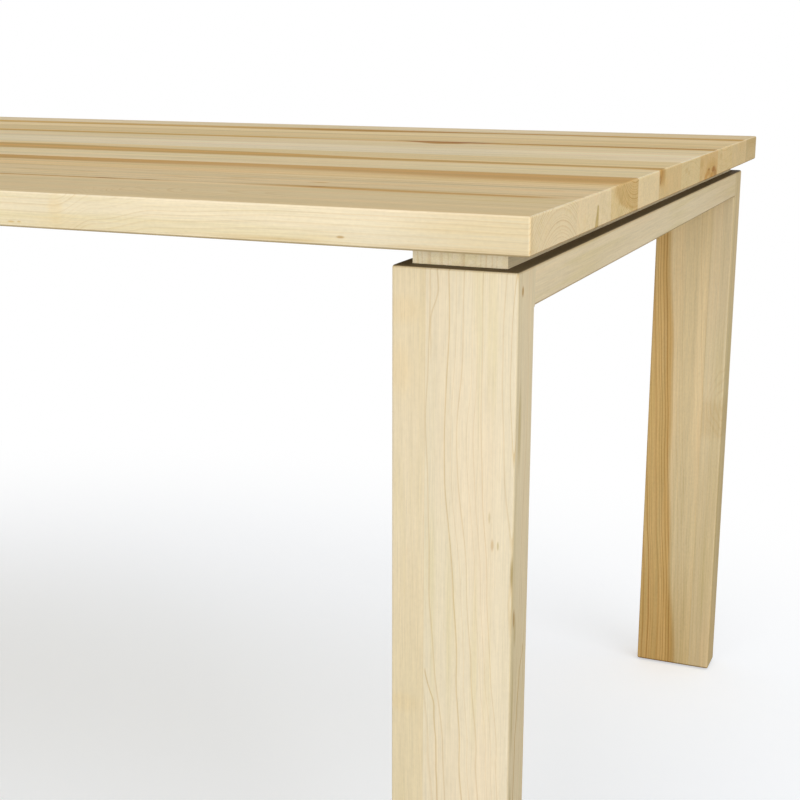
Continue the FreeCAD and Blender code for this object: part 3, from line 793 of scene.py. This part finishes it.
# %% Flecks and blushes in the staves
FLECK_TINT = (0.60, 0.41, 0.20)
GOLDEN_TINT = (0.82, 0.66, 0.40)
SOFT_TINT = (0.93, 0.88, 0.78)
BLUSH_TINT = (1.0, 0.96, 0.88)
DULL_TINT = (0.955, 0.96, 0.955)
# For each tint: a stave's number, the place of a fleck in it, and the fleck's half sizes.
STAVE_FLECKS = {
    FLECK_TINT: [
        (1, (0.850, FRONT, 0.7274), (0.0046, 0.006, 0.0014)),
        (2, (0.553, FRONT + 0.133, FACE), (0.018, 0.0040, 0.003)),
        (2, (0.596, FRONT + 0.135, FACE), (0.014, 0.0030, 0.003)),
        (2, (0.764, FRONT + 0.137, FACE), (0.014, 0.0040, 0.003)),
        (5, (END, FRONT + 0.4215, 0.7400), (0.030, 0.0050, 0.0070)),
        (7, (END, FRONT + 0.700, 0.7295), (0.030, 0.016, 0.0050)),
        (7, (END, FRONT + 0.712, 0.7240), (0.030, 0.012, 0.0070)),
        (7, (END, FRONT + 0.672, 0.7312), (0.030, 0.006, 0.0022)),
    ],
    GOLDEN_TINT: [
        (5, (END, FRONT + 0.4240, FACE), (0.030, 0.0130, 0.0210)),
        (7, (END, FRONT + 0.690, 0.7235), (0.030, 0.020, 0.0050)),
        (7, (END, FRONT + 0.656, 0.7235), (0.030, 0.012, 0.0060)),
        (1, (0.850, FRONT, 0.7274), (0.0046, 0.006, 0.0014)),
        (1, (0.547, FRONT, 0.7246), (0.0050, 0.004, 0.0011)),
        (1, (0.555, FRONT, 0.7248), (0.0030, 0.004, 0.0010)),
        (7, (END, FRONT + 0.668, 0.7285), (0.030, 0.016, 0.0060)),
        (2, (0.75, FRONT + 0.172, FACE), (0.014, 0.006, 0.004)),
    ],
    SOFT_TINT: [
        (1, (END, FRONT, 0.735), (0.140, 0.010, 0.030)),
        (6, (END, FRONT + 0.546, 0.740), (0.020, 0.012, 0.004)),
        (6, (END, FRONT + 0.560, 0.736), (0.020, 0.008, 0.003)),
        (7, (END, FRONT + 0.630, 0.741), (0.030, 0.012, 0.007)),
        (7, (END, FRONT + 0.690, 0.730), (0.030, 0.045, 0.016)),
        (8, (END, FRONT + 0.745, 0.741), (0.020, 0.012, 0.005)),
        (10, (0.95, FRONT + 0.960, FACE), (0.250, 0.070, 0.020)),
    ],
    DULL_TINT: [
        (1, (0.600, FRONT, 0.735), (0.090, 0.010, 0.040)),
    ],
    BLUSH_TINT: [
        (1, (0.592, FRONT, 0.738), (0.010, 0.010, 0.020)),
        (1, (0.600, FRONT, 0.726), (0.040, 0.010, 0.009)),
        (1, (0.835, FRONT, 0.7266), (0.024, 0.006, 0.0025)),
        (5, (END, FRONT + 0.441, 0.735), (0.030, 0.024, 0.020)),
        (7, (END, FRONT + 0.690, 0.728), (0.030, 0.055, 0.018)),
        (9, (0.990, FRONT + 0.885, FACE), (0.060, 0.040, 0.020)),
    ],
}
for tint, flecks in STAVE_FLECKS.items():
    for number, place, size in flecks:
        wood = stave_woods[number - 1]
        wood.stain(wood.fleck(place, size) * (wood.fibre + wood.streak * 2 - 0.7), tint)
print("flecks:", sum(len(flecks) for flecks in STAVE_FLECKS.values()))

# %% Glue lines and the finish of the staves
GLUE_TINT = (0.95, 0.91, 0.82)
GLUE_HALF_WIDTH = 0.0005

for stave, wood in zip(staves, stave_woods):
    for corner in (stave.bound_box[0], stave.bound_box[6]):
        if abs(corner[1]) < CAD_HIGH.y - TINY:
            wood.stain(ramp(abs(wood.y - corner[1]), GLUE_HALF_WIDTH, 0), GLUE_TINT)
    stave.data.materials.append(oil(wood))
print("oiled the staves")

# %% [markdown]
# ## The legs' wood
# The legs stand on end, so their grain runs upright. The wide boards show thin wandering growth lines,
# and the rear right one has brown heartwood at its left, widening downwards. The tops of the legs and
# rails, which lie in the shadow gap under the top, get a dark painted shade, so that the top seems to
# float. That painted shade is picked by where a face lies and which way it looks, and a little of it
# reaches down over the edge.

# %% The shadow gap
GAP_PAINTED_SHADE = paint(99, 85, 61)
GAP_EDGE_SHADE_TINT = (0.76, 0.72, 0.64)
GAP_FLOOR = rail_high.z


def paint_gap_shade(wood):
    """Painted shade: dark on the level faces under the top, and lighter just below them."""
    # Painted shade: the faces just under the gap darker, and the level faces in the gap near black.
    wood.stain(ramp(wood.z, GAP_FLOOR - 0.0028, GAP_FLOOR - 0.0010), GAP_EDGE_SHADE_TINT)
    level = ramp(wood.facing[2], 0.45, 0.75) * ramp(wood.z, GAP_FLOOR - 0.0015, GAP_FLOOR - 0.0005)
    wood.colour = blend(level, wood.colour, GAP_PAINTED_SHADE)


print("shadow gap:", round((top_low.z - GAP_FLOOR) * 1000), "mm high")

# %% Sawn leg boards
LEANING = ((0.24, 0.015, 0), (0.31, 0.011, 0), (0.38, 0.005, 0), (0.45, 0.001, 0), (0.60, -0.0055, 0))
HEART_LEAN = ((0.0, 0.034, 0.0), (0.70, 0.0, 0.0))
LEG_TIMBER = {
    ("front_right", "narrow"): Timber(
        "Z", (0.84, -0.30), 21, plain=(227, 210, 175), ring=0.0050, lines=0.1, streaks=0.14,
    ),
    ("front_right", "wide"): Timber(
        "Z", (0.80, -0.30), 22, plain=(231, 217, 187), ring=0.0052, lines=0.9, late=0.80, wander=0.010,
        bend=LEANING, streaks=0.10,
    ),
    ("rear_right", "narrow"): Timber(
        "Z", (1.05, 0.35), 23, plain=(229, 211, 172), ring=0.0040, lines=0.4, streaks=0.3,
    ),
    ("rear_right", "wide"): Timber(
        "Z", (0.80, 0.50), 24, plain=(229, 208, 164), ring=0.0036, late=0.55, wander=0.006,
        bend=HEART_LEAN, streaks=0.3,
    ),
    ("front_left", "narrow"): Timber(
        "Z", (-1.04, -0.62), 25, plain=(234, 218, 184), ring=0.0040, lines=0.3,
    ),
    ("front_left", "wide"): Timber("Z", (-0.82, -0.36), 26, plain=(238, 223, 192), ring=0.0044),
    ("rear_left", "narrow"): Timber(
        "Z", (-0.80, 0.60), 27, plain=(234, 217, 183), ring=0.0042, lines=0.3,
    ),
    ("rear_left", "wide"): Timber("Z", (-1.06, 0.38), 28, plain=(237, 221, 188), ring=0.0046),
}
leg_woods = {}
for place, timber in LEG_TIMBER.items():
    wood = Wood(leg_boards[place].name, timber)
    colour_wood(wood)
    leg_woods[place] = wood
print("wood for", len(leg_woods), "leg boards")

# %% Flecks in the front leg
LEG_FRONT = leg_low.y
STROKE_TINT = (0.52, 0.46, 0.29)
SMEAR_TINT = (0.80, 0.76, 0.62)
ROSE_TINT = (0.80, 0.68, 0.54)
LEG_BLUSH_TINT = (1.0, 0.972, 0.92)
# For each tint: one of the leg's boards, the place of a fleck in it, and the fleck's half sizes.
LEG_FLECKS = {
    FLECK_TINT: [
        ("wide", (leg_high.x, LEG_FRONT + 0.0112, 0.690), (0.004, 0.0026, 0.0058)),
        ("wide", (leg_high.x, LEG_FRONT + 0.0065, 0.430), (0.004, 0.0030, 0.011)),
    ],
    STROKE_TINT: [
        ("wide", (leg_high.x, LEG_FRONT, 0.470), (0.0024, 0.0030, 0.021)),
    ],
    SMEAR_TINT: [
        ("wide", (leg_high.x, LEG_FRONT + 0.0105, 0.584), (0.004, 0.0050, 0.046)),
        ("wide", (leg_high.x, LEG_FRONT + 0.0095, 0.418), (0.004, 0.0040, 0.018)),
        ("wide", (leg_high.x, LEG_FRONT + 0.0070, 0.350), (0.004, 0.0035, 0.055)),
        ("wide", (leg_high.x, LEG_FRONT + 0.0065, 0.265), (0.004, 0.0035, 0.030)),
        ("wide", (leg_low.x + 0.0825, LEG_FRONT, 0.513), (0.0012, 0.004, 0.0070)),
        ("wide", (leg_low.x + 0.0898, LEG_FRONT, 0.491), (0.0012, 0.004, 0.0050)),
    ],
    ROSE_TINT: [
        ("wide", (leg_low.x + 0.0852, LEG_FRONT, 0.491), (0.0018, 0.004, 0.0068)),
    ],
    LEG_BLUSH_TINT: [
        ("narrow", (leg_low.x + 0.008, LEG_FRONT, 0.672), (0.022, 0.03, 0.016)),
        ("narrow", (leg_low.x + 0.006, LEG_FRONT, 0.625), (0.014, 0.03, 0.030)),
        ("narrow", (leg_low.x + 0.010, LEG_FRONT, 0.345), (0.020, 0.03, 0.012)),
    ],
}
for tint, flecks in LEG_FLECKS.items():
    for width, place, size in flecks:
        wood = leg_woods["front_right", width]
        wood.stain(wood.fleck(place, size) * (0.3 + 1.2 * wood.streak), tint)
print("flecks in the front leg:", sum(len(flecks) for flecks in LEG_FLECKS.values()))

# %% Lines, changes of tone and painted light and shade in the front leg
LOW_LINE = [(0.20, 0.929), (0.25, 0.9255), (0.31, 0.9235), (0.345, 0.9215), (0.378, 0.9135)]
HIGH_LINE = [(0.62, 0.918), (0.665, 0.9165), (0.690, 0.9225), (0.706, 0.9215)]
SIDE_LINE = [(0.25, -0.467), (0.318, -0.465), (0.346, -0.461), (0.377, -0.457), (0.395, -0.45)]
SIDE_LIGHT_TINT = (1.08, 1.06, 0.98)
SIDE_SHADE_TINT = (1.0, 0.96, 0.86)
NARROW_PALE_TINT = (1.01, 1.02, 1.05)
NARROW_DARK_TINT = (0.96, 0.965, 0.94)

narrow = leg_woods["front_right", "narrow"]
narrow.stain(between(narrow.z, 0.47, 0.60, 0.06), NARROW_PALE_TINT)
narrow.stain(ramp(narrow.z, 0.46, 0.36), NARROW_DARK_TINT)
wide = leg_woods["front_right", "wide"]
wander = (wide.noise(40, 10) - 0.5) * 0.002
low_line = ramp(abs(wide.x - follow(wide.z, LOW_LINE) + wander), 0.0009, 0.0003)
high_line = ramp(abs(wide.x - follow(wide.z, HIGH_LINE) + wander), 0.0009, 0.0003)
wide.stain(low_line * ramp(wide.z, 0.380, 0.375) * 0.8, LINE_TINT)
wide.stain(high_line * ramp(wide.z, 0.62, 0.66) * 0.55, LINE_TINT)
wide.stain(ramp(wide.x, leg_low.x + 0.062, leg_low.x + 0.042), DULL_TINT)
outside = ramp(wide.facing[0], 0.5, 0.9)
side_line = ramp(abs(wide.y - follow(wide.z, SIDE_LINE)), 0.0014, 0.0006)
wide.stain(side_line * ramp(wide.z, 0.402, 0.396) * outside, LINE_TINT)
# Painted light and shade: the right side lighter above and darker below.
wide.stain(outside * ramp(wide.z, 0.33, 0.65), SIDE_LIGHT_TINT)
wide.stain(outside * ramp(wide.z, 0.65, 0.33), SIDE_SHADE_TINT)
print("two lines on the front leg's face and one on its side")

# %% Heartwood in the rear leg
LEG_HEART_TINT = (0.94, 0.80, 0.56)
LEG_LINE_TINT = (0.66, 0.46, 0.29)
BORDER_TINT = (0.90, 0.87, 0.80)
HEART_BORDER = [(0.0, 0.938), (0.16, 0.924), (0.31, 0.918), (0.455, 0.915), (0.615, 0.905), (0.7, 0.901)]

heart = leg_woods["rear_right", "wide"]
border = follow(heart.z, HEART_BORDER) + (heart.noise(5, 20) - 0.5) * 0.008
in_heart = ramp(heart.x, border + 0.003, border - 0.005)
heart.stain(in_heart * (0.5 + heart.streak), LEG_HEART_TINT)
heart.stain(in_heart * heart.line, LEG_LINE_TINT)
heart.stain(ramp(abs(heart.x - border + 0.005), 0.0090, 0.0030), BORDER_TINT)
print("heartwood up to", round((HEART_BORDER[0][1] - leg_low.x) * 1000), "mm wide at the foot")

# %% A curl, changes of tone and painted shade in the rear leg
CURL_MIDDLE = (0.986, 0.44, 0.394)
CURL_REACH = (0.030, 0.040, 0.075)
CURL_ARCS = 6
DARK_TONE_AND_SHADE_TINT = (0.94, 0.91, 0.85)
PALER_TINT = (1.07, 1.06, 1.07)
RIGHT_SIDE_SHADE_TINT = (0.94, 0.91, 0.80)

curled = leg_woods["rear_right", "narrow"]
out = curled.reach(CURL_MIDDLE, CURL_REACH)
arcs = ramp(abs((out * CURL_ARCS + curled.noise(20, 60) * 3) % 1 - 0.5), 0.3, 0.0)
curled.stain(arcs * ramp(out, 1.0, 0.5) * 0.2, GOLDEN_TINT)
curled.stain(between(curled.z, 0.345, 0.395, 0.02), DARK_TONE_AND_SHADE_TINT)
# Painted shade: the narrow board darker from 0.40 m down.
curled.stain(ramp(curled.z, 0.40, 0.25), DARK_TONE_AND_SHADE_TINT)
heart.stain(between(heart.x, 0.945, 0.958, 0.006) * between(heart.z, 0.33, 0.62, 0.2), PALER_TINT)
# Painted shade: both boards darker towards the foot.
heart.stain(ramp(heart.z, 0.20, 0.05), DARK_TONE_AND_SHADE_TINT)
for wood in (heart, curled):
    wood.stain(ramp(wood.z, 0.22, 0.02) * 0.8, DARK_TONE_AND_SHADE_TINT)
# Painted shade on the narrow board's right side.
curled.stain(ramp(curled.facing[0], 0.5, 0.9), RIGHT_SIDE_SHADE_TINT)
print("a curl with", CURL_ARCS, "arcs, and both boards darker towards the foot")

# %% The finish of the legs
FOOT_SHADE_TINT = (0.60, 0.54, 0.42)

for (corner, width), wood in leg_woods.items():
    board = leg_boards[corner, width]
    sides = (board.bound_box[0][0], board.bound_box[6][0])
    glued = min(sides, key=lambda side: abs(abs(side) - RIGHT_FRAME.x))
    wood.stain(ramp(abs(wood.x - glued), GLUE_HALF_WIDTH, 0), GLUE_TINT)
    # Painted shade: a thin dark band along the foot, where the board stands just above the floor.
    wood.stain(ramp(wood.z, leg_low.z + 0.0035, leg_low.z + 0.0010), FOOT_SHADE_TINT)
    # Painted shade in the shadow gap.
    paint_gap_shade(wood)
    board.data.materials.append(oil(wood))
print("oiled the legs")

# %% [markdown]
# ## The rails' and battens' wood
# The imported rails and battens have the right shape, counterbores for the bolts included, so they stay
# as they are and only get wood of their own. Their grain runs across the table. A batten's front end is
# the neck that shows between the leg and the top: its pith lay far to the side, so the end shows
# upright lines.

# %% Rails and battens
RAIL_TONE = (245, 227, 189)
BATTEN_TONE = (241, 228, 197)
BATTEN_RINGS = {"ring": 0.0060, "lines": 0.7, "late": 0.6, "cut_lines": 0.7}
END_TIMBER = {
    "right_rail": Timber("Y", (0.70, 0.60), 31, RAIL_TONE, ring=0.0040, lines=0.10, streaks=0.10),
    "left_rail": Timber("Y", (-0.75, 0.85), 32, RAIL_TONE, ring=0.0040, lines=0.15, streaks=0.10),
    "right_batten": Timber("Y", (0.40, 0.712), 33, BATTEN_TONE, **BATTEN_RINGS),
    "left_batten": Timber("Y", (-0.42, 0.712), 34, BATTEN_TONE, **BATTEN_RINGS),
}
for node, timber in END_TIMBER.items():
    wood = Wood(node, timber)
    colour_wood(wood)
    if node.endswith("rail"):
        # Painted shade: the rail darker towards its rear end.
        wood.stain(ramp(wood.y, 0.15, 0.45), DARK_TONE_AND_SHADE_TINT)
        # Painted shade in the shadow gap.
        paint_gap_shade(wood)
    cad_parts[node].material_slots[0].material = oil(wood)
print("wood for", sorted(END_TIMBER))

# %% [markdown]
# ## Dowels and tenons
# The dowels and loose tenons are beech, a little redder than the boards and full of short dark flecks.
# They are hidden in their holes once the table is together, but the model can be taken apart, so they
# get their own wood. Each kind has one material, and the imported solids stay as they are.

# %% Beech for dowels and tenons
BEECH = (226, 190, 148)
BEECH_FLECK_TINT = (0.72, 0.55, 0.38)
BEECH_SEED = 41
BEECH_GRAIN = {"batten_dowels": "Z", "rail_tenons": "Y"}


def dress(kind, finish):
    """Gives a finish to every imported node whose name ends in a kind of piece."""
    for name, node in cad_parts.items():
        if name.endswith(kind):
            node.material_slots[0].material = finish


for number, (kind, grain) in enumerate(BEECH_GRAIN.items()):
    timber = Timber(grain, (0.0, 0.0), BEECH_SEED + number, BEECH, ring=0.0030, lines=0.3)
    wood = Wood(f"beech_{kind}", timber)
    colour_wood(wood)
    wood.stain(ramp(wood.noise(160, 1500), 0.58, 0.68), BEECH_FLECK_TINT)
    dress(kind, oil(wood))
print("beech for", sorted(BEECH_GRAIN))

# %% [markdown]
# ## Steel and plastic
# Screws, washers and threaded inserts are zinc plated: a grey metal whose crystals differ a little in
# tone. The bolts are blackened, so they are darker and duller, with a worn grey sheen in places. The
# glides under the legs are moulded plastic with a fine pebbled skin. All three start from cells and
# noise in space, because these pieces are small and no one direction stands out on them.

# %% Steel
CRYSTALS = 700.0
STEEL_CLOUDS = 260.0


def plate_steel(name, low, high, rough):
    """Plated or blackened steel: crystals of differing tone, and a sheen that varies with them."""
    chart = Chart(bpy.data.materials.new(name))
    place = chart.node("TexCoord", {}, {}, "Object")
    crystal = chart.node("TexVoronoi", {}, {"Vector": place, "Scale": CRYSTALS}, "Color")
    grey = chart.node("SeparateXYZ", {}, {0: crystal})
    cloud = chart.node("TexNoise", {}, {"Vector": place, "Scale": STEEL_CLOUDS, "Detail": 2.0})
    share = (grey * 0.45 + cloud * 0.55).at_most(1)
    feel = chart.node("Bump", {}, {"Strength": 0.1, "Distance": 0.0001, "Height": cloud})
    surface = {"Base Color": blend(share, low, high), "Roughness": rough + (cloud - 0.5) * 0.25}
    surface.update({"Metallic": 1.0, "Normal": feel})
    return chart.close(surface)


print("steel with", CRYSTALS, "crystals to a metre")

# %% Plastic
PEBBLES = 1800.0
PLASTIC_CLOUDS = 90.0


def mould_plastic(name, tone):
    """Matt plastic with a pebbled skin and a slight cloudiness."""
    chart = Chart(bpy.data.materials.new(name))
    place = chart.node("TexCoord", {}, {}, "Object")
    cells = {"Vector": place, "Scale": PEBBLES}
    pebble = chart.node("TexVoronoi", {"feature": "SMOOTH_F1"}, cells, "Distance")
    cloud = chart.node("TexNoise", {}, {"Vector": place, "Scale": PLASTIC_CLOUDS, "Detail": 2.0})
    feel = chart.node("Bump", {}, {"Strength": 0.25, "Distance": 0.0001, "Height": pebble})
    shade = 0.9 + cloud * 0.25
    colour = chart.node("VectorMath", {"operation": "SCALE"}, {0: tone[:3], "Scale": shade})
    surface = {"Base Color": colour, "Roughness": 0.45 + pebble * 0.25, "Normal": feel}
    return chart.close(surface)


print("plastic with", PEBBLES, "pebbles to a metre")

# %% The hardware's finishes
ZINC_TONES = ((0.52, 0.53, 0.55, 1), (0.74, 0.75, 0.75, 1))
BLACK_TONES = ((0.035, 0.034, 0.034, 1), (0.085, 0.083, 0.080, 1))
GLIDE_TONE = (0.27, 0.24, 0.20, 1)

zinc = plate_steel("zinc_plated_steel", *ZINC_TONES, rough=0.38)
black = plate_steel("black_steel", *BLACK_TONES, rough=0.46)
plastic = mould_plastic("glide_plastic", GLIDE_TONE)
HARDWARE = {
    "batten_screws": zinc,
    "bolt_washers": zinc,
    "threaded_inserts": zinc,
    "top_bolts": black,
    "foot_glides": plastic,
}
for kind, finish in HARDWARE.items():
    dress(kind, finish)
print("finishes for", len(HARDWARE), "kinds of hardware")
